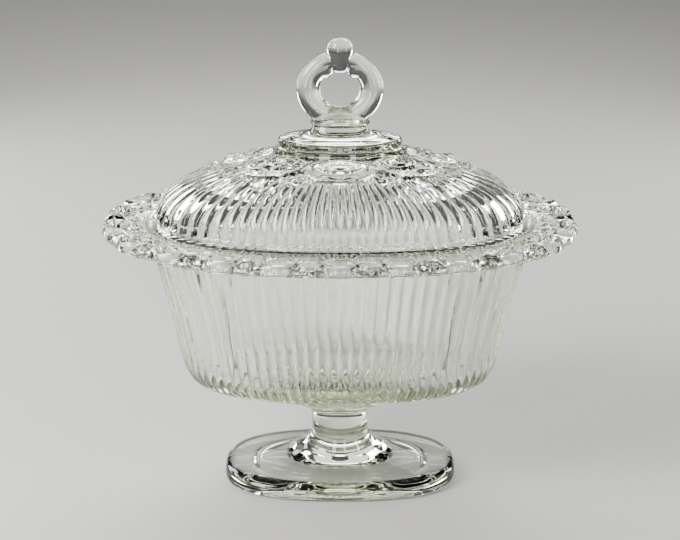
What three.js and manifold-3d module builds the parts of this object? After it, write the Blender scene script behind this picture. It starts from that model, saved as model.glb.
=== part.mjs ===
// A lidded candy dish in pressed clear glass, in millimetres, +Z up.
// The origin is the centre of the foot ring's flat underside, +X runs along the dish's longer side.
// The dish (foot, stem, bowl and lace rim) is one pressing and the lid with its ring finial is another.
import * as THREE from "three";
import { mergeVertices } from "three/addons/utils/BufferGeometryUtils.js";
import Module from "manifold-3d";

const wasm = await Module();
wasm.setup();

// Overall sizes. A plan is an oval with bowed sides: half its length, half its width, and how square it is.
const rim = { halfLength: 95, halfWidth: 67, squareness: 2.2 };
const foot = { halfLength: 48.2, halfWidth: 31, squareness: 2.6 };
const rimHeight = 110.4; // top of the lace rim above the table
const bowlUnderside = 41.5; // where the bowl's outer wall turns under
const stemRadius = 11.6;

// Lace rim.
const rimThickness = 4;
const laceUnits = 22;
const scallopDepth = 0.7;
const loopHole = { along: 10.4, across: 7.6 };
const eyeHole = { along: 3.6, across: 4.4 };
const laceLand = 3; // solid glass between the lid seat and the lace
const laceEdge = 3.4; // solid glass outside the loop holes

// Lid seat: a ledge sunk into the rim, with play all round the lid.
const seatDepth = 3;
const seatPlay = 2.5;
const seatLedge = 3.8; // how far the lid overlaps the ledge
const restGap = 0.3;

// Bowl.
const wallAtRim = 8.5; // from the bowl's mouth to the outer wall, under the rim
const wallAtFloor = 5;
const floorThickness = 6.5;
const bowlTurn = { halfLength: 62.8, halfWidth: 38.4, squareness: 2.4, rise: 7 }; // the wall's lower corner

// Foot and stem.
const footEdge = 6.2;
const footRingWidth = 11.5;
const footRecess = 4.4;
const stemFlare = 14.5; // from the stem's straight part up to the bowl's underside
const stemFoot = 12.8; // from the foot's edge up to the stem's straight part
const collar = { halfLength: 22.5, halfWidth: 20, squareness: 2.2 };

// Lid.
const lid = { halfLength: 73.1, halfWidth: 44.8, squareness: 2.3, height: 36.4, wall: 4.5 };
const lidBand = 3.3; // plain band below the lid's reeded shoulder
const garland = { outer: 0.6, inner: 0.38, relief: 1.6 }; // shares of the lid's plan, and height
const plateau = { halfLength: 24.4, halfWidth: 16, height: 5 };

// Finial: an upright oval ring on a short neck, with a pearl on top.
const ring = { halfWidth: 17.3, halfHeight: 15.1, tube: 4.3 };
const neck = { halfLength: 11, halfWidth: 8, height: 5.2 };
const pearl = { radius: 5.4, above: 5.2, foot: 3.9 };

const rimSides = 4 * laceUnits;
const lidSides = 60;

// Angles round a plan that give steps of equal length along its outline.
function evenAngles(plan, count) {
  const steps = 7200;
  const at = (k) => pointOn(plan, (2 * Math.PI * k) / steps);
  const lengths = [0];
  for (let k = 1; k <= steps; k++) lengths.push(lengths[k - 1] + at(k).distanceTo(at(k - 1)));
  const angles = [];
  let k = 0;
  for (let i = 0; i < count; i++) {
    while (lengths[k] < (lengths[steps] * i) / count) k++;
    angles.push((2 * Math.PI * k) / steps);
  }
  return angles;
}

// The point of a plan's outline at an angle, as a THREE.Vector2.
function pointOn(plan, angle) {
  const c = Math.cos(angle);
  const s = Math.sin(angle);
  const n = plan.squareness;
  const reach = (Math.abs(c) ** n + Math.abs(s) ** n) ** (-1 / n);
  return new THREE.Vector2(plan.halfLength * c * reach, plan.halfWidth * s * reach);
}

// A station of a section: its half length, half width, height and squareness.
const station = (halfLength, halfWidth, z, squareness = 2) => ({ halfLength, halfWidth, z, squareness });

// A closed solid through stations that start and end on the axis. It starts as a lathe,
// whose round rings then take each station's plan.
function loftOf(stations, angles, edge = () => 0) {
  const profile = stations.map((s) => new THREE.Vector2(s.halfLength, s.z));
  const lathe = new THREE.LatheGeometry(profile, angles.length);
  const place = lathe.getAttribute("position");
  for (let i = 0; i <= angles.length; i++) {
    stations.forEach((s, j) => {
      const side = i % angles.length;
      const out = edge(s, side);
      const grown = { ...s, halfLength: s.halfLength + out, halfWidth: s.halfWidth + out };
      const p = s.halfLength > 0 ? pointOn(grown, angles[side]) : new THREE.Vector2();
      place.setXYZ(i * stations.length + j, p.x, p.y, s.z);
    });
  }
  return solidOf(lathe);
}

// A closed three.js geometry as a solid that can be cut and joined.
function solidOf(geometry) {
  const bare = geometry.clone();
  bare.deleteAttribute("normal");
  bare.deleteAttribute("uv");
  const merged = mergeVertices(bare, 1e-4);
  const kept = [];
  const index = merged.index.array;
  for (let i = 0; i < index.length; i += 3) {
    const [a, b, c] = index.subarray(i, i + 3);
    if (a !== b && b !== c && c !== a) kept.push(a, b, c);
  }
  const mesh = new wasm.Mesh({
    numProp: 3,
    vertProperties: new Float32Array(merged.getAttribute("position").array),
    triVerts: new Uint32Array(kept),
  });
  return new wasm.Manifold(mesh);
}

// A solid as a named mesh.
function meshOf(solid, name, material) {
  const { vertProperties, triVerts } = solid.getMesh();
  const geometry = new THREE.BufferGeometry();
  geometry.setAttribute("position", new THREE.BufferAttribute(vertProperties, 3));
  geometry.setIndex(new THREE.BufferAttribute(triVerts, 1));
  geometry.computeVertexNormals();
  const mesh = new THREE.Mesh(geometry, material);
  mesh.name = name;
  return mesh;
}

const clearGlass = () =>
  new THREE.MeshStandardMaterial({ color: 0xdfe6da, roughness: 0.04, metalness: 0, transparent: true, opacity: 0.35 });

// The plan that lies a distance inside another.
const inset = (plan, by) => ({
  ...plan,
  halfLength: plan.halfLength - by,
  halfWidth: plan.halfWidth - by,
});

// The seat's outline is the lid's with play, and the bowl's mouth is what the lid overlaps.
const seat = inset(lid, -seatPlay);
const mouth = inset(lid, seatLedge);
const seatHeight = rimHeight - seatDepth;
const rimUnderside = rimHeight - rimThickness;
const at = (plan, z) => station(plan.halfLength, plan.halfWidth, z, plan.squareness);

// Part of the way from one plan to another.
function between(from, to, share, z) {
  const mix = (key) => from[key] + (to[key] - from[key]) * share;
  return station(mix("halfLength"), mix("halfWidth"), z, mix("squareness"));
}

function footAndStemStations() {
  const ringInner = inset(foot, 1.2 + footRingWidth);
  const step = station(22, 16.4, 0, 2.2);
  const slope = (share, z) => between(inset(foot, 2), step, share, z);
  const stemBottom = footEdge + stemFoot;
  const stemTop = bowlUnderside - stemFlare;
  return [
    station(0, 0, footRecess),
    at(inset(ringInner, 9), footRecess - 0.1),
    at(inset(ringInner, 2.6), footRecess - 0.9),
    at(inset(ringInner, 0.6), footRecess / 2),
    at(ringInner, 0),
    at(inset(foot, 1.2), 0),
    at(foot, 1.4),
    at(inset(foot, 0.2), footEdge - 1.4),
    at(inset(foot, 1.4), footEdge),
    slope(0.3, footEdge + 0.9),
    slope(0.72, footEdge + 2.3),
    slope(1, footEdge + 3.9),
    station(17.4, 14.9, footEdge + 6.2),
    station(stemRadius + 2.2, stemRadius + 2, stemBottom - 3.4),
    station(stemRadius, stemRadius, stemBottom),
    station(stemRadius, stemRadius, stemTop - 2),
    station(stemRadius + 1.2, stemRadius + 1.1, stemTop + 2),
    station(stemRadius + 4.6, stemRadius + 3.9, stemTop + 5.2),
  ];
}

function bowlStations() {
  const outerTop = inset(mouth, -wallAtRim);
  const turn = at(bowlTurn, bowlUnderside + bowlTurn.rise);
  const bowlFloor = bowlUnderside + floorThickness;
  const height = rimUnderside - turn.z;
  const wall = (share, rise) => between(turn, outerTop, share, turn.z + height * rise);
  const floorEdge = inset(turn, wallAtFloor);
  const inside = (share, rise) =>
    between(floorEdge, mouth, share, bowlFloor + (seatHeight - bowlFloor) * rise);
  return [
    at(collar, bowlUnderside - 5.4),
    between(collar, turn, 0.4, bowlUnderside - 2),
    at(inset(turn, 9), bowlUnderside),
    at(inset(turn, 3.2), bowlUnderside + 2.4),
    turn,
    wall(0.16, 0.12),
    wall(0.47, 0.5),
    wall(0.72, 0.76),
    wall(0.9, 0.93),
    at(inset(outerTop, -1.2), rimUnderside),
    at(inset(rim, 1.2), rimUnderside + 0.4),
    at(rim, rimUnderside + 1.5),
    at(rim, rimHeight - 1.3),
    at(inset(rim, 1.2), rimHeight),
    at(inset(seat, -1.2), rimHeight),
    at(seat, seatHeight),
    at(mouth, seatHeight),
    inside(0.93, 0.9),
    inside(0.48, 0.45),
    inside(0.14, 0.13),
    at(inset(floorEdge, 2.4), bowlFloor + 2),
    at(inset(floorEdge, 8), bowlFloor + 0.3),
    station(0, 0, bowlFloor),
  ];
}

// A hole through the lace rim, with its long side along the rim.
function laceHole(size, plan, angle, sides) {
  const here = pointOn(plan, angle);
  const next = pointOn(plan, angle + 0.002);
  const hole = new THREE.CylinderGeometry(0.5, 0.5, 4 * rimThickness, sides);
  hole.rotateX(Math.PI / 2);
  hole.scale(size.along, size.across, 1);
  hole.rotateZ(Math.atan2(next.y - here.y, next.x - here.x));
  hole.translate(here.x, here.y, rimHeight);
  return solidOf(hole);
}

// The loops stand half way between the pearls: a wide hole in each loop, an eye inside each pearl.
function laceHoles() {
  const corners = evenAngles(rim, 2 * laceUnits);
  const landEdge = seat.halfLength + 1.2 + laceLand;
  const band = rim.halfLength - laceEdge - landEdge;
  const loops = inset(rim, laceEdge + band / 2);
  const eyes = inset(rim, laceEdge + band - eyeHole.across / 2);
  return corners.map((angle, k) =>
    k % 2 ? laceHole(loopHole, loops, angle, 10) : laceHole(eyeHole, eyes, angle, 6),
  );
}

function dish() {
  const angles = evenAngles(rim, rimSides);
  const outside = (s) => s.halfLength > rim.halfLength - 2;
  const scallop = (s, side) => (outside(s) && side % 2 ? -scallopDepth : 0);
  let glass = loftOf([...footAndStemStations(), ...bowlStations()], angles, scallop);
  for (const hole of laceHoles()) glass = glass.subtract(hole);
  return glass;
}

function lidStations() {
  const base = seatHeight + restGap;
  const top = base + lid.height;
  const crown = top - plateau.height - 1;
  const shrunk = (share, z) =>
    station(lid.halfLength * share, lid.halfWidth * share, z, 2 + (lid.squareness - 2) * share);
  const rise = crown - base;
  const inner = (share, z) => shrunk(share, z - lid.wall);
  return [
    station(0, 0, crown - 0.4 - lid.wall),
    inner(garland.inner, crown - 0.8),
    inner(garland.outer, base + rise * 0.78),
    inner(0.8, base + rise * 0.66),
    inner(0.89, base + rise * 0.5),
    at(inset(lid, lid.wall + 0.2), base + lidBand),
    at(inset(lid, lid.wall), base),
    at(inset(lid, 0.8), base),
    at(lid, base + 0.9),
    at(lid, base + lidBand),
    shrunk(0.986, base + rise * 0.22),
    shrunk(0.966, base + rise * 0.36),
    shrunk(0.934, base + rise * 0.48),
    shrunk(0.88, base + rise * 0.58),
    shrunk(0.79, base + rise * 0.69),
    shrunk(garland.outer + 0.02, base + rise * 0.82),
    shrunk(garland.outer, base + rise * 0.84 + garland.relief),
    shrunk(garland.inner, crown + garland.relief * 0.6),
    station(plateau.halfLength + 0.4, plateau.halfWidth + 0.4, crown + 1.2),
    station(plateau.halfLength, plateau.halfWidth, top - 0.9),
    station(plateau.halfLength - 0.9, plateau.halfWidth - 0.9, top),
    station(neck.halfLength + 4, neck.halfWidth + 3.2, top + 0.9),
    station(neck.halfLength + 0.6, neck.halfWidth + 0.5, top + 2.4),
    station(neck.halfLength, neck.halfWidth, top + neck.height),
    station(0, 0, top + neck.height + 0.6),
  ];
}

// The finial's ring stands across the lid, so that it is seen open from the front.
function finialRing(centre) {
  const torus = new THREE.TorusGeometry(ring.halfWidth - ring.tube, ring.tube, 10, 30);
  torus.rotateX(Math.PI / 2);
  torus.scale(1, 1, ring.halfHeight / ring.halfWidth);
  torus.translate(0, 0, centre);
  return solidOf(torus);
}

function finialPearl(centre) {
  const crest = centre + ring.halfHeight;
  const inside = crest - (2 * ring.tube * ring.halfHeight) / ring.halfWidth;
  const profile = [
    new THREE.Vector2(0, inside - 0.8),
    new THREE.Vector2(pearl.foot, inside - 0.8),
    new THREE.Vector2(pearl.foot + 0.5, inside + 0.8),
  ];
  const dome = new THREE.Path();
  const middle = crest + pearl.above - pearl.radius;
  dome.absarc(0, middle, pearl.radius, -0.1, Math.PI / 2, false);
  profile.push(...dome.getPoints(6).map((p) => new THREE.Vector2(Math.abs(p.x) < 1e-6 ? 0 : p.x, p.y)));
  const turned = new THREE.LatheGeometry(profile, 20);
  turned.rotateX(Math.PI / 2);
  return solidOf(turned);
}

function lidWithFinial() {
  const top = seatHeight + restGap + lid.height;
  const ringCentre = top + neck.height + ring.halfHeight - 1.2;
  const angles = evenAngles(lid, lidSides);
  return loftOf(lidStations(), angles).add(finialRing(ringCentre)).add(finialPearl(ringCentre));
}

const candyDish = new THREE.Group();
candyDish.add(meshOf(dish(), "dish", clearGlass()));
candyDish.add(meshOf(lidWithFinial(), "lid", clearGlass()));

export default candyDish;
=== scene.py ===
import math

import bpy
import numpy as np
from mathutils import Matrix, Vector


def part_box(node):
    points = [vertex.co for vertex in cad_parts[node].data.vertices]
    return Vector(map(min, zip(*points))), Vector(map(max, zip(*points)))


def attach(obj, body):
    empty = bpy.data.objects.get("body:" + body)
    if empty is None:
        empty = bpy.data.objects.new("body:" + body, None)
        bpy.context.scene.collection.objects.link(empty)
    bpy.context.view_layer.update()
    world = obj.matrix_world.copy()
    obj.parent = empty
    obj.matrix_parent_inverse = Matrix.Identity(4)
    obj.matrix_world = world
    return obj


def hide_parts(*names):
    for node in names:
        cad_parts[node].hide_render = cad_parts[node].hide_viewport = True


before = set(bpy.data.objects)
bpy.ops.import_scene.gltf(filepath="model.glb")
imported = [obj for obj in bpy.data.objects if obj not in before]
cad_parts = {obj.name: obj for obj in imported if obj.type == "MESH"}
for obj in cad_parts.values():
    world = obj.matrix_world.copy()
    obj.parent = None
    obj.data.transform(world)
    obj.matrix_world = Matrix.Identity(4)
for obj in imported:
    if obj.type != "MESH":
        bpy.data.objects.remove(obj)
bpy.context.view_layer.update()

bl_info = {
    "name": "Pressed Glass Candy Dish",
    "version": (1, 0, 0),
    "blender": (4, 5, 0),
    "location": "3D View > Sidebar > Candy Dish",
    "description": "Makes a footed, reeded glass candy dish with an openwork lace rim and a lid with a ring finial",
    "category": "Add Mesh",
}

MM = 0.001
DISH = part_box("dish")
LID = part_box("lid")
# A plan is half length, half width and squareness, where 2 is an ellipse and more is squarer.
RIM_TOP = DISH[1][2]
RIM = (DISH[1][0], DISH[1][1], 2.2)
LID_BASE = LID[0][2]
LID_PLAN = (LID[1][0], LID[1][1], 2.3)
LID_TOP = LID[1][2]

# The dish.
FOOT = (48.2 * MM, 31 * MM, 2.6)
FOOT_RING_WIDTH = 12.7 * MM
STEM_RADIUS = 11.6 * MM
BOWL_TURN = (62.8 * MM, 36.8 * MM, 2.4)
BOWL_LOW = 41.5 * MM
SEAM_HEIGHT = 0.22 * MM
SEAT_DEPTH = 3 * MM
SEAT_LEDGE = 3.8 * MM
COLUMNS_PER_LACE_UNIT = 48
LACE_ROWS = 29
LACE_DEPTH = 17.2 * MM
RIBS_PER_FAN = 9

# The lid. The ring's half width and half height are in millimetres.
LID_HEIGHT = 36.4 * MM
LID_WALL = 4.5 * MM
PLATEAU_HEIGHT = 6 * MM
COLUMNS_PER_REED = 8
RING_RADIUS = 12.5 * MM
RING_TUBE = 4.8 * MM
RING_CREST = 4.1 * MM
RING_HALF_WIDTH = 17.3
RING_HALF_HEIGHT = 15.1
PEARL_COLUMNS = 40

# Edges sharper than this stay crisp, except in the cast relief.
CRISP_ANGLE = math.radians(36)
# Each body's ripple is taken from its own part of the noise.
RIPPLE_OFFSETS = {"dish": (0, 0, 0), "lid": (0.3, 0.1, 0.2)}

WORLD_COLOUR = (0.93, 0.95, 1.0, 1)
WORLD_STRENGTH = 0.12
SENSOR_WIDTH = 36
FOCAL_LENGTH = 36 * 1555.5 / 680
# Lamps: place, aim, width and height in metres, and power as a share of the key light's.
LAMPS = {
    "softbox_key": ((-0.52, -0.3, 0.5), (-0.12, 0, 0.06), 0.3, 0.42, 1),
    "softbox_top": ((0.0, 0.62, 0.78), (0, 0, 0.06), 0.8, 0.4, 0.75),
    "softbox_right": ((0.6, -0.32, 0.26), (0, 0, 0.12), 0.1, 0.4, 0.2),
    "softbox_front_left": ((-0.3, -0.86, 0.26), (0, 0, 0.12), 0.22, 0.52, 0.4),
    "softbox_front_right": ((0.26, -0.9, 0.26), (0, 0, 0.12), 0.12, 0.52, 0.22),
    "softbox_back_left": ((-0.5, 0.5, 0.3), (0, 0, 0.1), 0.16, 0.44, 0.3),
    "softbox_back_right": ((0.55, 0.48, 0.26), (0, 0, 0.1), 0.12, 0.4, 0.26),
    "softbox_far": ((-0.1, 1.35, 0.8), (-0.1, 1.3, 0), 1.6, 0.8, 0.7),
}


def size(name, default, description):
    return bpy.props.FloatProperty(
        name=name, default=default, description=description, unit="LENGTH", precision=4)


def number(name, default, description):
    return bpy.props.IntProperty(name=name, default=default, description=description)


def colour(name, default, description):
    return bpy.props.FloatVectorProperty(
        name=name, subtype="COLOR", size=3, min=0, max=1, default=default, description=description)


class DishSizes(bpy.types.PropertyGroup):
    reeds: number("Reeds", 88, "Reeds round the bowl, a multiple of the lace units")
    lace_units: number("Lace units", 22, "Loops round the rim, with a pearl between each two")
    reed_depth: size("Reed depth", 1.5 * MM, "How far the grooves between the bowl's reeds are pressed in")
    lace_thickness: size("Rim thickness", 4 * MM, "Thickness of the flat rim")
    pearl_radius: size("Pearl radius", 4.4 * MM, "Radius of the pearls round the rim's edge")


class LidSizes(bpy.types.PropertyGroup):
    reeds: number("Reeds", 84, "Reeds round the lid")
    reed_depth: size("Reed depth", 1.9 * MM, "How far the grooves between the lid's reeds are pressed in")
    medallions: number("Medallions", 8, "Oval medallions in the lid's garland")
    relief: size("Garland relief", 2.4 * MM, "How far the garland stands out of the lid")


class GlassFinish(bpy.types.PropertyGroup):
    tint: colour("Tint", (0.82, 0.86, 0.66), "Colour of thick glass")
    depth: bpy.props.FloatProperty(
        name="Tint depth", default=22, description="How quickly the tint deepens with thickness")
    waviness: bpy.props.FloatProperty(
        name="Waviness", default=0.12, min=0, max=1, description="Strength of the fire-polished ripple")


class StudioSettings(bpy.types.PropertyGroup):
    floor: colour("Floor", (0.52, 0.51, 0.49), "Colour of the floor")
    key: bpy.props.FloatProperty(
        name="Key light", default=7, unit="POWER", description="Power of the soft light on the left")
    camera_distance: size("Camera distance", 599.5 * MM, "How far in front of the dish the camera stands")
    camera_height: size("Camera height", 284.4 * MM, "Height of the camera above the table")
    camera_pitch: bpy.props.FloatProperty(
        name="Camera pitch", default=math.radians(18.09), subtype="ANGLE",
        description="How far the camera looks down")


# ---------------------------------------------------------------- outlines and sections

def outline(plan, angles):
    """Points of an oval plan (half length, half width, squareness) at the given angles."""
    a, b, n = plan
    c, s = np.cos(angles), np.sin(angles)
    reach = (np.abs(c) ** n + np.abs(s) ** n) ** (-1 / n)
    return np.stack([a * c * reach, b * s * reach], -1)


def even_angles(plan, count):
    """Angles that give steps of equal length along a plan's outline."""
    fine = np.linspace(0, 2 * math.pi, 20001)
    steps = np.linalg.norm(np.diff(outline(plan, fine), axis=0), axis=1)
    length = np.concatenate([[0], np.cumsum(steps)])
    return np.interp(np.arange(count) * length[-1] / count, length, fine), length[-1]


def polar_angles(plan, count):
    """Angles whose points lie at equal turns about the centre."""
    turn = 2 * math.pi * np.arange(count) / count
    return np.arctan2(np.sin(turn) / plan[1], np.cos(turn) / plan[0]) % (2 * math.pi)


def curve(points, spacing):
    """Section stations (half length, half width, height, squareness) along a smooth line through the points.
    A corner is a point that is given twice."""
    points = np.array(points, float)
    runs, start = [], 0
    for k in range(1, len(points)):
        if np.allclose(points[k], points[k - 1]):
            runs.append(points[start:k])
            start = k
    runs.append(points[start:])
    out = [runs[0][:1]]
    for run in runs:
        if len(run) < 2:
            continue
        ends = np.vstack([2 * run[0] - run[1], run, 2 * run[-1] - run[-2]])
        for k in range(1, len(ends) - 2):
            p0, p1, p2, p3 = ends[k - 1:k + 3]
            steps = max(1, int(math.ceil(np.linalg.norm((p2 - p1)[[0, 2]]) / spacing)))
            t = (np.arange(1, steps + 1) / steps)[:, None]
            pairs = ((p0, p1), (p1, p2), (p2, p3))
            d = [max(np.linalg.norm((q - p)[[0, 2]]), 1e-6) ** 0.5 for p, q in pairs]
            m1 = ((p1 - p0) / d[0] - (p2 - p0) / (d[0] + d[1]) + (p2 - p1) / d[1]) * d[1]
            m2 = ((p2 - p1) / d[1] - (p3 - p1) / (d[1] + d[2]) + (p3 - p2) / d[2]) * d[1]
            out.append((2 * t**3 - 3 * t**2 + 1) * p1 + (t**3 - 2 * t**2 + t) * m1
                       + (3 * t**2 - 2 * t**3) * p2 + (t**3 - t**2) * m2)
    return np.vstack(out)


def thinned(stations, gap):
    """Fewer stations, at least the gap apart that the given rule allows at each."""
    kept = [0]
    for k in range(1, len(stations) - 1):
        if np.linalg.norm((stations[k] - stations[kept[-1]])[[0, 2]]) >= gap(stations[k]):
            kept.append(k)
    return stations[kept + [len(stations) - 1]]


def rings_of(stations, angles):
    """Each station's ring of points, as an array (stations, angles, 3)."""
    rings = np.empty((len(stations), len(angles), 3))
    for j, (a, b, z, n) in enumerate(stations):
        rings[j, :, :2] = outline((a, b, n), angles)
        rings[j, :, 2] = z
    return rings


def pushed_out(rings, amount, below=None, above=None):
    """Rings moved along their surface's normal. The next and last rings outside the run can be given."""
    before = rings[0] if below is None else below
    after = rings[-1] if above is None else above
    all_rings = np.concatenate([before[None], rings, after[None]])
    up = all_rings[2:] - all_rings[:-2]
    round_ = np.roll(rings, -1, 1) - np.roll(rings, 1, 1)
    normal = np.cross(round_, up)
    normal /= np.maximum(np.linalg.norm(normal, axis=2, keepdims=True), 1e-12)
    return rings + normal * amount[..., None]


# ---------------------------------------------------------------- relief, as heights over a flat pattern

def ellipse_distance(u, w, centre, radii, turn=0.0):
    """Distance from an ellipse's line, less than nothing inside it."""
    c, s = math.cos(turn), math.sin(turn)
    x, y = u - centre[0], w - centre[1]
    x, y = c * x + s * y, c * y - s * x
    k0 = np.hypot(x / radii[0], y / radii[1])
    k1 = np.hypot(x / radii[0] ** 2, y / radii[1] ** 2)
    return np.where(k1 > 1e-9, k0 * (k0 - 1) / np.maximum(k1, 1e-9), -min(radii))


def bead(distance, half_width, height):
    """A half-round ridge along a line at the given distance."""
    return height * np.sqrt(np.clip(1 - (distance / half_width) ** 2, 0, 1))


def dome(u, w, centre, radii, height, turn=0.0):
    """A smooth round-topped oval."""
    c, s = math.cos(turn), math.sin(turn)
    x, y = u - centre[0], w - centre[1]
    x, y = c * x + s * y, c * y - s * x
    return height * np.sqrt(np.clip(1 - (x / radii[0]) ** 2 - (y / radii[1]) ** 2, 0, 1))


def reed(turn):
    """Height of a reed from 0 in the grooves to 1 on its round crest. A reed is one turn wide."""
    x = 2 * turn - 1
    return (np.sqrt(1.29 - x**2) - math.sqrt(0.29)) / (math.sqrt(1.29) - math.sqrt(0.29))


def step(x, low, high):
    """A smooth rise from 0 to 1."""
    t = np.clip((x - low) / (high - low), 0, 1)
    return t * t * (3 - 2 * t)


def melt(*heights, soft=0.35 * MM):
    """The highest of several heights, with the valleys between them filled softly, as in poured glass."""
    top = heights[0]
    for h in heights[1:]:
        d = np.clip(0.5 + 0.5 * (top - h) / soft, 0, 1)
        top = h + (top - h) * d + soft * d * (1 - d)
    return top


# ---------------------------------------------------------------- building the surface

class Skin:
    """A closed surface made of rings of points, from one point on the axis to another."""

    def __init__(self):
        self.points = []
        self.faces = []
        self.count = 0

    def add(self, points):
        first = self.count
        self.points.append(np.asarray(points, float).reshape(-1, 3))
        self.count += len(self.points[-1])
        return np.arange(first, self.count)

    def join(self, low, high):
        """Faces between two rings, which may hold one point, the same number, or twice as many."""
        a, b = np.asarray(low), np.asarray(high)
        if len(a) == 1 or len(b) == 1:
            ring = b if len(a) == 1 else a
            tip = int(a[0] if len(a) == 1 else b[0])
            nxt = np.roll(ring, -1)
            for p, q in zip(ring.tolist(), nxt.tolist()):
                self.faces.append((tip, q, p) if len(a) == 1 else (tip, p, q))
        elif len(a) == len(b):
            a2, b2 = np.roll(a, -1), np.roll(b, -1)
            self.faces.extend(zip(a.tolist(), a2.tolist(), b2.tolist(), b.tolist()))
        elif len(b) == 2 * len(a):
            a2, m, b0, b2 = np.roll(a, -1), b[1::2], b[0::2], np.roll(b, -2)[0::2]
            for p, q, r, s, t in zip(a.tolist(), a2.tolist(), b2.tolist(), m.tolist(), b0.tolist()):
                self.faces.extend([(p, s, t), (p, q, s), (q, r, s)])
        elif len(a) == 2 * len(b):
            b2, m, a0, a2 = np.roll(b, -1), a[1::2], a[0::2], np.roll(a, -2)[0::2]
            for p, m_, q, r, t in zip(a0.tolist(), m.tolist(), a2.tolist(), b2.tolist(), b.tolist()):
                self.faces.extend([(p, m_, t), (m_, r, t), (m_, q, r)])
        else:
            raise ValueError("rings of %d and %d points can't be joined" % (len(a), len(b)))

    def climb(self, last, rings):
        """Join a run of rings to the last one. Gives the new last ring."""
        for ring in rings:
            now = self.add(ring)
            self.join(last, now)
            last = now
        return last

    def object(self, name):
        mesh = bpy.data.meshes.new(name)
        mesh.from_pydata(np.concatenate(self.points).tolist(), [], self.faces)
        mesh.validate()
        piece = bpy.data.objects.new(name, mesh)
        bpy.context.collection.objects.link(piece)
        return piece


def only(*pieces):
    """Select just these pieces, the last one active."""
    bpy.ops.object.select_all(action="DESELECT")
    for piece in pieces:
        piece.select_set(True)
    bpy.context.view_layer.objects.active = pieces[-1]


def cleaned(piece, distance=0.002 * MM):
    only(piece)
    bpy.ops.object.mode_set(mode="EDIT")
    bpy.ops.mesh.select_all(action="SELECT")
    bpy.ops.mesh.remove_doubles(threshold=distance)
    bpy.ops.mesh.dissolve_degenerate(threshold=distance)
    bpy.ops.mesh.normals_make_consistent(inside=False)
    bpy.ops.object.mode_set(mode="OBJECT")
    return piece


def applied(piece, kind, **settings):
    """Add a modifier and apply it."""
    only(piece)
    modifier = piece.modifiers.new(kind.title(), kind)
    for key, value in settings.items():
        setattr(modifier, key, value)
    bpy.ops.object.modifier_apply(modifier=modifier.name)
    return piece


def fused(piece, other):
    """Join two closed pieces into one."""
    applied(piece, "BOOLEAN", object=other, operation="UNION", solver="MANIFOLD")
    bpy.data.objects.remove(other)
    return piece


# ---------------------------------------------------------------- the dish

def inner(plan, by):
    """A plan drawn in by a distance."""
    return (plan[0] - by, plan[1] - by, plan[2])


def stn(plan, z):
    """A section's station: a plan at a height."""
    return (plan[0], plan[1], z, plan[2])


def blend(p, q, share, z):
    """A station part of the way from one plan to another."""
    mixed = [p[k] + (q[k] - p[k]) * share for k in range(3)]
    return (mixed[0], mixed[1], z, mixed[2])


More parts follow.
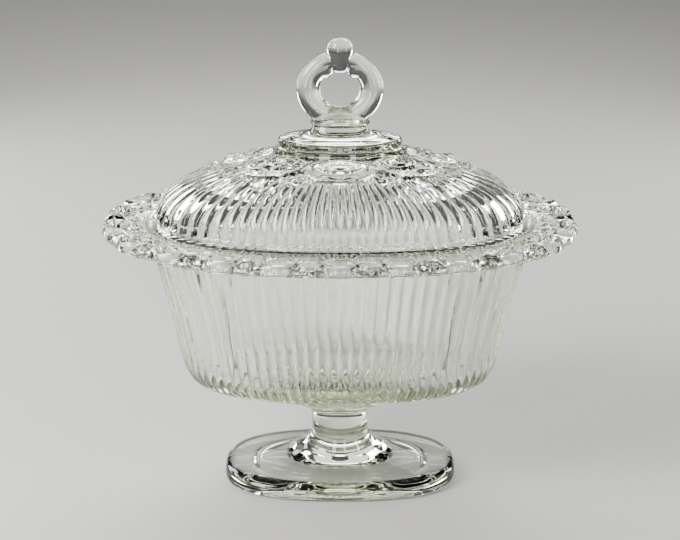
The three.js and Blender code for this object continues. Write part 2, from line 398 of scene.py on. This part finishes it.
class OBJECT_OT_dish_pressing(bpy.types.Operator):
    """The dish in one pressing: foot, stem, reeded bowl and lace rim"""

    bl_idname = "candy_dish.dish"
    bl_label = "Dish"

    def lace(self, sizes, angles, perimeter):
        """Places in the lace band, as arrays (rows, columns): how far along, how far in, the relief's height, the
        glass left before an edge, and which squares are glass."""
        units = sizes.lace_units
        pitch = perimeter / units
        columns = len(angles)
        along = np.arange(columns) * perimeter / columns

        def pattern(u_all, w):
            """How far inside the lobed edge, outside the loop's hole and outside the eye a place is, and the
            height of the relief there."""
            shrink = 1 - w * 2 * math.pi / perimeter
            pearl_u = ((u_all + pitch / 2) % pitch - pitch / 2) * shrink
            loop_u = (u_all % pitch - pitch / 2) * shrink
            loop = ellipse_distance(loop_u, w, (0, 5.8 * MM), (6.2 * MM, 4.4 * MM))
            pearl = np.hypot(pearl_u, w - 4.5 * MM)
            outside = melt(1.5 * MM - loop, sizes.pearl_radius - pearl, soft=0.8 * MM)
            outside = melt(outside, w - 0.9 * MM, soft=0.6 * MM)
            hole = ellipse_distance(loop_u, w, (0, 5.8 * MM), (4.6 * MM, 2.8 * MM))
            eye = ellipse_distance(pearl_u, w, (0, 11.3 * MM), (1.9 * MM, 1.3 * MM))
            fan = np.cos(pearl_u / (pitch * shrink) * 2 * math.pi * RIBS_PER_FAN) * 0.5 + 0.5
            in_fan = step(w, 11.4 * MM, 12.6 * MM)
            ribs = 1.5 * MM + 0.8 * MM * fan * in_fan * (1 - step(w, 15 * MM, 15.8 * MM))
            arch = np.abs(ellipse_distance(pearl_u, w, (0, 3.4 * MM), (7.2 * MM, 11.0 * MM)))
            height = melt(
                ribs,
                bead(np.abs(loop), 1.6 * MM, 2.9 * MM),
                bead(pearl, sizes.pearl_radius, 4.0 * MM),
                bead(arch, 1.1 * MM, 2.8 * MM) * step(w, 3 * MM, 6 * MM),
                dome(loop_u, w, (0, 13.2 * MM), (2.6 * MM, 1.9 * MM), 3.1 * MM),
                bead(np.abs(w - 16.1 * MM), 0.7 * MM, 2.6 * MM),
                soft=0.3 * MM,
            )
            height = height + (2 * MM - height) * step(w, 16.5 * MM, 17.1 * MM)
            return outside, hole, eye, height

        # The outermost row follows the lobed edge.
        probe = np.linspace(0, 2.4 * MM, 97)
        grid_u, grid_w = np.meshgrid(along, probe)
        outside = pattern(grid_u, grid_w)[0]
        edge = np.array([probe[np.argmax(outside[:, i] > 0)] for i in range(columns)])
        share = np.linspace(0, 1, LACE_ROWS) ** 1.12
        w = edge[None] + (LACE_DEPTH - edge[None]) * share[:, None]
        u = np.repeat(along[None], LACE_ROWS, 0)
        # Points near a hole's edge move onto it.
        cell = 0.55 * MM
        for _ in range(3):
            outside, hole, eye, height = pattern(u, w)
            gap = np.minimum(hole, eye)
            e = 0.02 * MM
            gu = (np.minimum(*pattern(u + e, w)[1:3]) - gap) / e
            gw = (np.minimum(*pattern(u, w + e)[1:3]) - gap) / e
            norm = np.maximum(gu**2 + gw**2, 0.05)
            near = np.abs(gap) < cell * 0.52
            near[0] = near[-1] = False
            u = np.where(near, u - gap * gu / norm, u)
            w = np.where(near, w - gap * gw / norm, w)
        outside, hole, eye, height = pattern(u, w)
        gap = np.minimum(hole, eye)
        gap = np.where(np.abs(gap) < 0.03 * MM, 0, gap)
        # Where glass ends at a hole, the upper and lower surfaces meet.
        holes = gap < 0
        keep = ~(holes[:-1] | holes[1:])
        keep = keep & np.roll(keep, -1, 1)
        lost = ~keep
        lost = lost | np.roll(lost, 1, 1)
        meets = np.zeros(gap.shape, bool)
        meets[:-1] |= lost
        meets[1:] |= lost
        glass = np.minimum(np.maximum(outside, 0), np.maximum(gap, 0))
        glass[meets] = 0
        glass[0] = 0
        return u, w, height, glass, keep

    def execute(self, context):
        sizes = context.scene.candy_dish_dish
        fine = sizes.lace_units * COLUMNS_PER_LACE_UNIT
        angles, perimeter = even_angles(RIM, fine)
        half, quarter = angles[::2], angles[::4]
        skin = Skin()
        t = sizes.lace_thickness
        mid = RIM_TOP - t / 2
        lid_seat = (LID_PLAN[0] + 2.5 * MM, LID_PLAN[1] + 2.5 * MM, LID_PLAN[2])
        mouth = inner(LID_PLAN, SEAT_LEDGE)
        seat_z = RIM_TOP - SEAT_DEPTH
        turn, low = BOWL_TURN, BOWL_LOW
        floor_z = low + 6.5 * MM
        foot = FOOT
        well = inner(foot, FOOT_RING_WIDTH)

        # Foot and stem, from the middle of the hollow underside up to the collar under the bowl.
        stem = STEM_RADIUS
        edge, hump = inner(foot, 2 * MM), (22 * MM, 16.4 * MM, 2.2)
        section = [
            (3 * MM, 2.9 * MM, 4.4 * MM, 2), stn(inner(well, 9 * MM), 4.3 * MM),
            stn(inner(well, 5 * MM), 4.1 * MM), stn(inner(well, 2.6 * MM), 3.5 * MM),
            stn(inner(well, 1 * MM), 2.3 * MM), stn(inner(well, 0.3 * MM), 0.9 * MM),
            stn(inner(well, -0.3 * MM), 0.2 * MM), stn(inner(well, -1.2 * MM), 0),
            stn(inner(foot, 3.6 * MM), 0), stn(inner(foot, 1.4 * MM), 0.05 * MM),
            stn(inner(foot, 0.4 * MM), 0.6 * MM), stn(inner(foot, 0.02 * MM), 1.8 * MM),
            stn(inner(foot, 0.1 * MM), 3.2 * MM), stn(inner(foot, 0.6 * MM), 4.7 * MM),
            stn(inner(foot, 1.6 * MM), 5.7 * MM), stn(inner(foot, 3 * MM), 6.3 * MM),
            blend(edge, hump, 0.14, 6.75 * MM), blend(edge, hump, 0.34, 7.3 * MM),
            blend(edge, hump, 0.6, 8.1 * MM), blend(edge, hump, 0.84, 8.9 * MM), blend(edge, hump, 1, 9.5 * MM),
            (20.4 * MM, 15.7 * MM, 10.3 * MM, 2.2), (18.8 * MM, 15.1 * MM, 11.6 * MM, 2.1),
            (17.2 * MM, 14.5 * MM, 12.2 * MM, 2), (15.4 * MM, 13.8 * MM, 13 * MM, 2),
            (13.6 * MM, 12.9 * MM, 15 * MM, 2), (12.2 * MM, 12.1 * MM, 17.2 * MM, 2),
            (stem, stem, 19.6 * MM, 2), (stem, stem, 25 * MM, 2), (12.2 * MM, 12.1 * MM, 28 * MM, 2),
            (14 * MM, 13.4 * MM, 30.7 * MM, 2), (17.5 * MM, 15.8 * MM, 33.2 * MM, 2.1),
            (21.6 * MM, 19.3 * MM, 35.1 * MM, 2.2),
        ]
        stations = curve(section, 2.2 * MM)
        rings = rings_of(stations, quarter)
        # The mould's seam: a fine raised line up the left and right of the foot.
        seam = np.zeros(len(quarter))
        seam[[0, len(quarter) // 2]] = SEAM_HEIGHT
        on_top = ((stations[:, 2] > 1.6 * MM) & (stations[:, 2] < 12 * MM)).astype(float)
        inside = stations[:, 0] < foot[0] - 0.1 * MM
        rings = pushed_out(rings, on_top[:, None] * inside[:, None] * seam[None])
        rings[..., 2] = np.maximum(rings[..., 2], 0)
        last = skin.climb(skin.add([(0, 0, 4 * MM)]), rings)
        top_of_stem = rings[-1]

        # The bowl's reeded outside, from the collar round the corner and up to the rim.
        wall_top = inner(mouth, -8.5 * MM)
        rim_low = RIM_TOP - t
        height = rim_low - (low + 7 * MM)
        wall = lambda share, rise: blend(turn, wall_top, share, low + 7 * MM + height * rise)
        section = [
            (23 * MM, 20.2 * MM, 35.9 * MM, 2.2), (30 * MM, 23.4 * MM, 38.4 * MM, 2.25),
            (41 * MM, 26.2 * MM, 40 * MM, 2.3), stn(inner(turn, 9 * MM), low + 0.1 * MM),
            stn(inner(turn, 5.6 * MM), low + 1.2 * MM), stn(inner(turn, 2.4 * MM), low + 3.3 * MM),
            stn(turn, low + 7 * MM), wall(0.14, 0.1), wall(0.3, 0.3), wall(0.5, 0.54), wall(0.74, 0.78),
            wall(0.9, 0.93), wall(0.97, 0.985),
        ]
        rule = lambda at: (1.9 if at[2] < low + 12 * MM else 4.4) * MM
        stations = thinned(curve(section, 0.6 * MM), rule)
        rings = rings_of(stations, half)
        crest = reed((np.arange(len(half)) * sizes.reeds / len(half)) % 1)
        under_rim = step(stations[:, 2], rim_low - 1.6 * MM, rim_low - 0.2 * MM)
        fade = step(stations[:, 0], 22 * MM, 31 * MM) * (1 - under_rim)
        local = np.clip(stations[:, 0] / turn[0], 0.3, 1)
        cut = -sizes.reed_depth * local * fade
        rings = pushed_out(rings, cut[:, None] * (1 - crest)[None], below=doubled(top_of_stem))
        last = skin.climb(last, rings)

        # The rim's lace, underneath and on top.
        u, w, relief, left, keep = self.lace(sizes, angles, perimeter)
        rounding = lambda r: np.sqrt(np.clip(1 - (1 - np.clip(left / r, 0, 1)) ** 2, 0, 1))
        at = (u / perimeter * fine) % fine
        spun = np.interp(at, np.arange(fine + 1), np.concatenate([angles, [2 * math.pi]]))
        outer = np.empty(u.shape + (2,))
        inside = np.empty(u.shape + (2,))
        land = inner(RIM, LACE_DEPTH)
        for j in range(u.shape[0]):
            outer[j] = outline(inner(RIM, 0.03 * MM), spun[j])
            inside[j] = outline((land[0], land[1], 2.24), spun[j])
        place = outer + (inside - outer) * (w / LACE_DEPTH)[..., None]
        top = np.dstack([place, mid + relief * rounding(1.5 * MM)])
        under = np.dstack([place, mid - (t / 2) * rounding(1.8 * MM)])
        rows = u.shape[0]
        # The lower surface first, from its inner row.
        bottom_ids = [skin.add(under[j]) for j in range(rows - 1, 0, -1)]
        edge_ids = skin.add(np.column_stack([place[0], np.full(len(place[0]), mid)]))
        top_ids = [skin.add(top[j]) for j in range(1, rows)]
        skin.join(last, bottom_ids[0])
        order = bottom_ids + [edge_ids] + top_ids
        row_of = list(range(rows - 1, 0, -1)) + [0] + list(range(1, rows))
        for a, b, ra, rb in zip(order[:-1], order[1:], row_of[:-1], row_of[1:]):
            j = min(ra, rb)
            a2, b2 = np.roll(a, -1), np.roll(b, -1)
            ok = keep[j]
            skin.faces.extend(zip(a[ok].tolist(), a2[ok].tolist(), b2[ok].tolist(), b[ok].tolist()))
        last = order[-1]

        # The seat that the lid stands in, and the inside of the bowl.
        section = [
            stn(inner(lid_seat, -1.7 * MM), RIM_TOP), stn(inner(lid_seat, -0.7 * MM), RIM_TOP - 0.15 * MM),
            stn(inner(lid_seat, -0.15 * MM), RIM_TOP - 0.8 * MM), stn(inner(lid_seat, 0), seat_z + 0.5 * MM),
            stn(inner(lid_seat, 0.4 * MM), seat_z + 0.06 * MM), stn(inner(lid_seat, 1.2 * MM), seat_z),
            stn(inner(mouth, -0.9 * MM), seat_z), stn(inner(mouth, -0.2 * MM), seat_z - 0.25 * MM),
            stn(inner(mouth, 0.1 * MM), seat_z - 1 * MM),
        ]
        stations = curve(section, 1.5 * MM)
        last = skin.climb(last, rings_of(stations[:1], half))
        last = skin.climb(last, rings_of(stations[1:], quarter))
        bottom = inner(turn, 5 * MM)
        rise = seat_z - floor_z
        inside_wall = lambda share, up: blend(bottom, mouth, share, floor_z + rise * up)
        section = [
            inside_wall(0.97, 0.955), inside_wall(0.83, 0.8), inside_wall(0.62, 0.6), inside_wall(0.42, 0.4),
            inside_wall(0.22, 0.2), inside_wall(0.07, 0.1), stn(inner(bottom, 1.1 * MM), floor_z + 3 * MM),
            stn(inner(bottom, 3.6 * MM), floor_z + 1.2 * MM), stn(inner(bottom, 8 * MM), floor_z + 0.3 * MM),
            (38 * MM, 17 * MM, floor_z, 2.2), (20 * MM, 12 * MM, floor_z, 2), (4 * MM, 3.4 * MM, floor_z, 2),
        ]
        last = skin.climb(last, rings_of(curve(section, 5 * MM), quarter))
        skin.join(last, skin.add([(0, 0, floor_z)]))

        piece = cleaned(skin.object("pressed_dish"), 0.045 * MM)
        finish(piece, "dish", soft=(rim_low - 0.3 * MM, RIM_TOP + 9 * MM))
        return {"FINISHED"}


def doubled(ring):
    """A ring with twice the points, half of them new and midway."""
    out = np.empty((2 * len(ring), 3))
    out[0::2] = ring
    out[1::2] = (ring + np.roll(ring, -1, 0)) / 2
    return out


# ---------------------------------------------------------------- the lid

class OBJECT_OT_lid_pressing(bpy.types.Operator):
    """The lid in one pressing: reeded dome, garland, plateau, neck, ring finial and pearl"""

    bl_idname = "candy_dish.lid"
    bl_label = "Lid"

    def garland(self, sizes, stations, angles, edge):
        """Height of the garland over the dome, and how much of the reeds it covers, as arrays (stations, columns)."""
        # One medallion faces the front, and one stands at each end with a pearl outside it.
        reach = np.maximum(stations[:, 0], 20 * MM)[:, None]
        pitch = 2 * math.pi / sizes.medallions
        turn = ((angles - 1.5 * math.pi) / pitch + 0.5) % 1 - 0.5
        u = turn[None] * pitch * reach
        gap = (0.5 - np.abs(turn))[None] * pitch * reach
        steps = np.linalg.norm(np.diff(stations[:, [0, 2]], axis=0), axis=1)
        slant = np.concatenate([[0], np.cumsum(steps)])
        start = np.interp(-edge, -stations[:, 0], slant)
        w = (slant - start)[:, None].repeat(len(angles), 1)
        at_ends = step(np.abs(np.cos(angles)), 0.9, 0.95)[None]
        r = sizes.relief
        outer = ellipse_distance(u, w, (0, 14.4 * MM), (11.9 * MM, 9.3 * MM))
        eye = ellipse_distance(u, w, (0, 17.9 * MM), (7.4 * MM, 4.0 * MM))
        height = melt(
            0.45 * r * (1 - step(outer, -0.4 * MM, 1.6 * MM)),
            bead(np.abs(outer), 1.75 * MM, r),
            bead(np.abs(eye), 1.3 * MM, 0.95 * r),
            dome(u, w, (0, 17.9 * MM), (4.4 * MM, 2.0 * MM), 0.85 * r),
            dome(u, w, (-4.9 * MM, 9.6 * MM), (5.0 * MM, 3.5 * MM), 1.0 * r, -0.3),
            dome(u, w, (4.9 * MM, 9.6 * MM), (5.0 * MM, 3.5 * MM), 1.0 * r, 0.3),
            dome(gap, w, (0, 3.6 * MM), (3.3 * MM, 4.4 * MM), 1.2 * r),
            dome(gap, w, (0, 22.4 * MM), (2.6 * MM, 2.6 * MM), 0.8 * r),
            dome(u, w, (0, -0.6 * MM), (4.5 * MM, 4.4 * MM), 1.55 * r) * at_ends,
            soft=0.35 * MM,
        )
        near_plateau = 1 - step(stations[:, 0], 33 * MM, 38 * MM)[:, None]
        cover = np.maximum(near_plateau, 1 - step(outer, 0.6 * MM, 2.4 * MM))
        return height, cover

    def execute(self, context):
        sizes = context.scene.candy_dish_lid
        fine = sizes.reeds * COLUMNS_PER_REED
        angles = polar_angles(LID_PLAN, fine)
        half, quarter = angles[::2], angles[::4]
        plan = inner(LID_PLAN, 0.03 * MM)
        base = LID_BASE
        top = base + LID_HEIGHT
        crown = top - PLATEAU_HEIGHT
        rise = crown - base
        shrunk = lambda share, z: (plan[0] * share, plan[1] * share, z, 2 + 0.3 * share)
        wall = LID_WALL
        hollow = lambda share, z: shrunk(share, z - wall)
        skin = Skin()

        # The hollow underside, from the middle out to the lower edge.
        section = [
            hollow(0.06, crown + 0.2 * MM), hollow(0.22, crown - 0.2 * MM), hollow(0.4, crown - 1.2 * MM),
            hollow(0.6, base + rise * 0.8), hollow(0.76, base + rise * 0.685), hollow(0.86, base + rise * 0.56),
            hollow(0.91, base + rise * 0.44), stn(inner(plan, wall + 0.3 * MM), base + 3.3 * MM),
            stn(inner(plan, wall), base + 1 * MM), stn(inner(plan, wall - 0.5 * MM), base + 0.2 * MM),
            stn(inner(plan, wall - 1.4 * MM), base), stn(inner(plan, 1.4 * MM), base),
            stn(inner(plan, 0.4 * MM), base + 0.25 * MM), stn(plan, base + 1 * MM),
        ]
        rings = rings_of(curve(section, 2.6 * MM), quarter)
        last = skin.climb(skin.add([(0, 0, crown + 0.25 * MM - wall)]), rings)
        lower_edge = doubled(rings[-1])
        last = skin.climb(last, [lower_edge + [0, 0, 0.01 * MM]])
        below = doubled(lower_edge)

        # The band, the reeded shoulder and the dome, up to the plateau.
        section = [
            stn(plan, base + 2 * MM), stn(plan, base + 3.6 * MM), shrunk(0.998, base + 5 * MM),
            shrunk(0.992, base + rise * 0.22), shrunk(0.984, base + rise * 0.3),
            shrunk(0.969, base + rise * 0.38), shrunk(0.948, base + rise * 0.445),
            shrunk(0.915, base + rise * 0.515), shrunk(0.86, base + rise * 0.6),
            shrunk(0.79, base + rise * 0.675), shrunk(0.71, base + rise * 0.745),
            (46.5 * MM, 46.5 * MM * plan[1] / plan[0], base + rise * 0.795, 2.19),
            (42 * MM, 27.2 * MM, base + rise * 0.835, 2.17), (36 * MM, 23.4 * MM, base + rise * 0.885, 2.14),
            (30 * MM, 19.6 * MM, base + rise * 0.935, 2.08), (26 * MM, 17.3 * MM, base + rise * 0.962, 2),
            (24.9 * MM, 16.5 * MM, base + rise * 0.975, 2),
        ]
        rule = lambda at: (0.48 if at[0] < 54.8 * MM else 0.55 if at[2] < base + 7 * MM else 1.5) * MM
        stations = thinned(curve(section, 0.12 * MM), rule)
        rings = rings_of(stations, angles)
        turn = (np.arange(fine) * sizes.reeds / fine) % 1
        # Each reed ends below in a round toe that stands proud of the plain band.
        arc = 1 - np.sqrt(1 - 0.9 * (2 * turn - 1)[None] ** 2)
        above_toe = stations[:, 2][:, None] - (base + 4.0 * MM) - 2.0 * MM * arc
        toe = np.sqrt(np.clip(1 - (1 - np.clip(above_toe / (1.0 * MM), 0, 1)) ** 2, 0, 1))
        local = np.clip(stations[:, 0] / plan[0], 0.3, 1)[:, None]
        garland, cover = self.garland(sizes, stations, angles, 49.5 * MM)
        amount = sizes.reed_depth * local * (reed(turn)[None] * toe * (1 - cover) + 0.7 * cover - 1) + garland
        last = skin.climb(last, pushed_out(rings, amount, below=below))

        # The plateau with its crisp edge, and the neck.
        edge = (24.4 * MM, 16 * MM)
        section = [
            (edge[0] + 0.15 * MM, edge[1] + 0.15 * MM, crown + 0.9 * MM, 2),
            (edge[0], edge[1], crown + 2.4 * MM, 2),
            (edge[0] - 0.05 * MM, edge[1] - 0.05 * MM, top - 0.7 * MM, 2),
            (edge[0] - 0.3 * MM, edge[1] - 0.3 * MM, top - 0.2 * MM, 2),
            (edge[0] - 0.8 * MM, edge[1] - 0.8 * MM, top, 2), (20 * MM, 13.3 * MM, top + 0.3 * MM, 2),
            (15.8 * MM, 10.8 * MM, top + 0.9 * MM, 2), (13.2 * MM, 9.2 * MM, top + 1.8 * MM, 2.1),
            (11.4 * MM, 8.1 * MM, top + 3 * MM, 2.2), (10.9 * MM, 7.6 * MM, top + 4.5 * MM, 2.2),
            (10.2 * MM, 7 * MM, top + 5.4 * MM, 2.2), (8.6 * MM, 5.6 * MM, top + 5.8 * MM, 2.1),
            (3 * MM, 2 * MM, top + 5.9 * MM, 2),
        ]
        upper = curve(section, 0.9 * MM)
        last = skin.climb(last, rings_of(upper[:1], half))
        last = skin.climb(last, rings_of(upper[1:], quarter))
        skin.join(last, skin.add([(0, 0, top + 5.9 * MM)]))
        piece = cleaned(skin.object("pressed_lid"))
        fused(piece, self.finial(top))
        finish(piece, "lid", soft=(base + 30.6 * MM, LID_TOP + 1 * MM))
        return {"FINISHED"}

    def finial(self, top):
        """The upright oval ring with bevelled faces, its shoulders and its pearl, melted together."""
        centre = LID_TOP - 5.2 * MM - RING_HALF_HEIGHT * MM
        bpy.ops.object.select_all(action="DESELECT")
        bpy.ops.mesh.primitive_torus_add(
            major_segments=96, minor_segments=16, major_radius=RING_RADIUS, minor_radius=RING_TUBE,
            location=(0, 0, centre), rotation=(math.pi / 2, 0, 0))
        ring = bpy.context.object
        ring.name = "finial_ring"
        bpy.ops.object.transform_apply(location=True, rotation=True, scale=True)
        place = np.empty(len(ring.data.vertices) * 3)
        ring.data.vertices.foreach_get("co", place)
        place = place.reshape(-1, 3)
        flat = place - [0, 0, centre]
        around = np.arctan2(flat[:, 2], flat[:, 0])
        out = np.hypot(flat[:, 0], flat[:, 2]) - RING_RADIUS
        side = np.arctan2(flat[:, 1], out)
        # A section with a crest a little outside its middle, and flat bevels in and out of it.
        crest = np.abs(np.sin(side)) ** 0.85 * np.sign(np.sin(side)) * RING_CREST
        radial = RING_RADIUS + np.cos(side) * RING_TUBE * (0.86 + 0.14 * np.abs(np.cos(side)))
        radial = radial + 0.5 * MM * np.abs(np.sin(side))
        place[:, 0] = np.cos(around) * radial
        place[:, 1] = crest
        place[:, 2] = centre + np.sin(around) * radial * RING_HALF_HEIGHT / RING_HALF_WIDTH
        ring.data.vertices.foreach_set("co", place.reshape(-1))
        parts = [ring]

        # The pearl: a tall bead that narrows to a flat end inside the ring.
        profile = [
            (0.0, -13.6), (3.0, -13.5), (3.5, -12.9), (4.3, -10.2), (5.0, -7.4), (5.35, -5.4), (5.2, -3.4),
            (4.3, -1.5), (2.4, -0.35), (0.0, 0.0),
        ]
        bead_skin = Skin()
        turn = 2 * math.pi * np.arange(PEARL_COLUMNS) / PEARL_COLUMNS
        last = bead_skin.add([(0, 0, LID_TOP + profile[0][1] * MM)])
        for radius, z in profile[1:-1]:
            level = np.full(PEARL_COLUMNS, LID_TOP + z * MM)
            points = np.stack([np.cos(turn) * radius * MM, np.sin(turn) * radius * 1.16 * MM, level], -1)
            last = bead_skin.climb(last, [points])
        bead_skin.join(last, bead_skin.add([(0, 0, LID_TOP)]))
        parts.append(bead_skin.object("finial_pearl"))

        # Shoulders either side of the pearl, and the web where the ring stands on the neck.
        # Each is x, z and the three radii, in millimetres.
        lumps = ((-6.4, 170.6, (4.2, 3.7, 3.3)), (6.4, 170.6, (4.2, 3.7, 3.3)), (0, 150.4, (12.0, 5.6, 4.2)))
        for x, z, radii in lumps:
            bpy.ops.object.select_all(action="DESELECT")
            bpy.ops.mesh.primitive_uv_sphere_add(
                segments=32, ring_count=16, radius=1 * MM, location=(x * MM, 0, z * MM))
            lump = bpy.context.object
            lump.scale = radii
            bpy.ops.object.transform_apply(location=True, rotation=True, scale=True)
            parts.append(lump)
        only(*parts[1:], parts[0])
        bpy.ops.object.join()
        body = bpy.context.object
        applied(body, "REMESH", mode="VOXEL", voxel_size=0.45 * MM)
        applied(body, "SMOOTH", factor=0.5, iterations=9)
        body.name = "finial"
        return body


# ---------------------------------------------------------------- the glass

class Value:
    """A node socket that can be used in sums."""

    def __init__(self, material, socket):
        self.material = material
        self.socket = socket

    def _math(self, operation, a, b):
        return self.material.node("ShaderNodeMath", {"operation": operation}, a, b)

    def __add__(self, other):
        return self._math("ADD", self, other)

    def __mul__(self, other):
        return self._math("MULTIPLY", self, other)

    __radd__ = __add__
    __rmul__ = __mul__


class Recipe:
    """A material being mixed."""

    def __init__(self, name):
        self.material = bpy.data.materials.new(name)
        self.material.use_nodes = True
        self.tree = self.material.node_tree
        self.tree.nodes.clear()

    def node(self, kind, settings=None, *values, out=0, **named):
        made = self.tree.nodes.new(kind)
        for key, value in (settings or {}).items():
            setattr(made, key, value)
        for key, value in list(enumerate(values)) + [(k.replace("_", " "), v) for k, v in named.items()]:
            if value is None:
                continue
            if isinstance(value, Value):
                self.tree.links.new(value.socket, made.inputs[key])
            else:
                made.inputs[key].default_value = value
        return Value(self, made.outputs[out])

    def output(self, **values):
        made = self.tree.nodes.new("ShaderNodeOutputMaterial")
        for key, value in values.items():
            self.tree.links.new(value.socket, made.inputs[key])
        return self.material


def glass(name, finish_settings, offset):
    """Fire-polished pressed glass, with a faint ripple and a tint that shows where it is thick."""
    mix = Recipe(name)
    place = mix.node("ShaderNodeTexCoord", out=3)
    place = mix.node("ShaderNodeMapping", None, place, offset)
    broad = mix.node("ShaderNodeTexNoise", None, place, Scale=34.0, Detail=2.0, Roughness=0.45)
    fine = mix.node("ShaderNodeTexNoise", None, place, Scale=240.0, Detail=2.0, Roughness=0.5)
    ripple = broad * 0.8 + fine * 0.2
    bump = mix.node("ShaderNodeBump", None, Strength=finish_settings.waviness, Distance=0.0006, Height=ripple)
    polish = 0.012 + 0.03 * mix.node("ShaderNodeTexNoise", None, place, Scale=60.0, Detail=3.0)
    shader = mix.node(
        "ShaderNodeBsdfPrincipled", None, Base_Color=(0.985, 0.992, 0.982, 1), Roughness=polish, IOR=1.52,
        Normal=bump, Transmission_Weight=1.0)
    tinted = mix.node(
        "ShaderNodeVolumeAbsorption", None, Color=(*finish_settings.tint, 1), Density=finish_settings.depth)
    return mix.output(Surface=shader, Volume=tinted)


def softened(piece, low, high):
    """Clear the sharp edges between two heights."""
    mesh = piece.data
    sharp = mesh.attributes.get("sharp_edge")
    if sharp is None:
        return
    places = np.empty(len(mesh.vertices) * 3)
    mesh.vertices.foreach_get("co", places)
    ends = np.empty(len(mesh.edges) * 2, int)
    mesh.edges.foreach_get("vertices", ends)
    middle = places[2::3][ends.reshape(-1, 2)].mean(1)
    marks = np.empty(len(mesh.edges), bool)
    sharp.data.foreach_get("value", marks)
    marks[(middle > low) & (middle < high)] = False
    sharp.data.foreach_set("value", marks)


def finish(piece, body, soft):
    """Give a finished pressing its glass, soft shading between two heights, and its place on its body."""
    material = glass(body + "_glass", bpy.context.scene.candy_dish_glass, RIPPLE_OFFSETS[body])
    piece.data.materials.clear()
    piece.data.materials.append(material)
    only(piece)
    bpy.ops.object.shade_smooth_by_angle(angle=CRISP_ANGLE)
    softened(piece, *soft)
    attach(piece, body)
    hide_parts(body)


# ---------------------------------------------------------------- the stage

class OBJECT_OT_studio(bpy.types.Operator):
    """The pale floor, the soft lights and the camera"""

    bl_idname = "candy_dish.studio"
    bl_label = "Studio"

    def lamp(self, name, place, aim, width, height, power):
        light = bpy.data.lights.new(name, "AREA")
        light.shape = "RECTANGLE"
        light.size, light.size_y, light.energy = width, height, power
        lamp = bpy.data.objects.new(name, light)
        bpy.context.collection.objects.link(lamp)
        lamp.location = place
        lamp.rotation_euler = (Vector(aim) - Vector(place)).to_track_quat("-Z", "Y").to_euler()

    def execute(self, context):
        s = context.scene.candy_dish_studio
        bpy.ops.object.select_all(action="DESELECT")
        bpy.ops.mesh.primitive_plane_add(size=8, location=(0, 0, -0.0004))
        floor = context.object
        floor.name = "studio_floor"
        mix = Recipe("floor_paper")
        place = mix.node("ShaderNodeTexCoord", out=3)
        mottle = mix.node("ShaderNodeTexNoise", None, place, Scale=9.0, Detail=3.0)
        shader = mix.node(
            "ShaderNodeBsdfPrincipled", None, Base_Color=(*s.floor, 1), Roughness=0.5 + 0.1 * mottle)
        floor.data.materials.append(mix.output(Surface=shader))

        for name, (place, aim, width, height, share) in LAMPS.items():
            self.lamp(name, place, aim, width, height, s.key * share)
        world = bpy.data.worlds.new("studio_air")
        context.scene.world = world
        world.use_nodes = True
        background = world.node_tree.nodes["Background"]
        background.inputs["Color"].default_value = WORLD_COLOUR
        background.inputs["Strength"].default_value = WORLD_STRENGTH
        context.scene.view_settings.look = "AgX - Medium High Contrast"

        camera = bpy.data.cameras.new("camera")
        camera.sensor_width = SENSOR_WIDTH
        camera.lens = FOCAL_LENGTH
        holder = bpy.data.objects.new("camera", camera)
        bpy.context.collection.objects.link(holder)
        holder.location = (0, -s.camera_distance, s.camera_height)
        holder.rotation_euler = (math.pi / 2 - s.camera_pitch, 0, 0)
        context.scene.camera = holder
        return {"FINISHED"}


class VIEW3D_PT_candy_dish(bpy.types.Panel):
    """Sizes, glass and studio of the candy dish"""

    bl_idname = "VIEW3D_PT_candy_dish"
    bl_label = "Candy Dish"
    bl_space_type = "VIEW_3D"
    bl_region_type = "UI"
    bl_category = "Candy Dish"

    def draw(self, context):
        scene = context.scene
        for settings, steps in (
            (scene.candy_dish_dish, (OBJECT_OT_dish_pressing,)),
            (scene.candy_dish_lid, (OBJECT_OT_lid_pressing,)),
            (scene.candy_dish_glass, ()),
            (scene.candy_dish_studio, (OBJECT_OT_studio,)),
        ):
            box = self.layout.box()
            for key in settings.__annotations__:
                box.prop(settings, key)
            for operator in steps:
                box.operator(operator.bl_idname)


CLASSES = (
    DishSizes, LidSizes, GlassFinish, StudioSettings,
    OBJECT_OT_dish_pressing, OBJECT_OT_lid_pressing, OBJECT_OT_studio, VIEW3D_PT_candy_dish,
)
SETTINGS = {
    "candy_dish_dish": DishSizes, "candy_dish_lid": LidSizes, "candy_dish_glass": GlassFinish,
    "candy_dish_studio": StudioSettings,
}


def register():
    for cls in CLASSES:
        bpy.utils.register_class(cls)
    for name, group in SETTINGS.items():
        setattr(bpy.types.Scene, name, bpy.props.PointerProperty(type=group))


def unregister():
    for name in SETTINGS:
        delattr(bpy.types.Scene, name)
    for cls in reversed(CLASSES):
        bpy.utils.unregister_class(cls)


def main():
    register()
    bpy.ops.candy_dish.studio()
    bpy.ops.candy_dish.dish()
    bpy.ops.candy_dish.lid()
    bpy.context.view_layer.update()


if __name__ == "__main__":
    main()
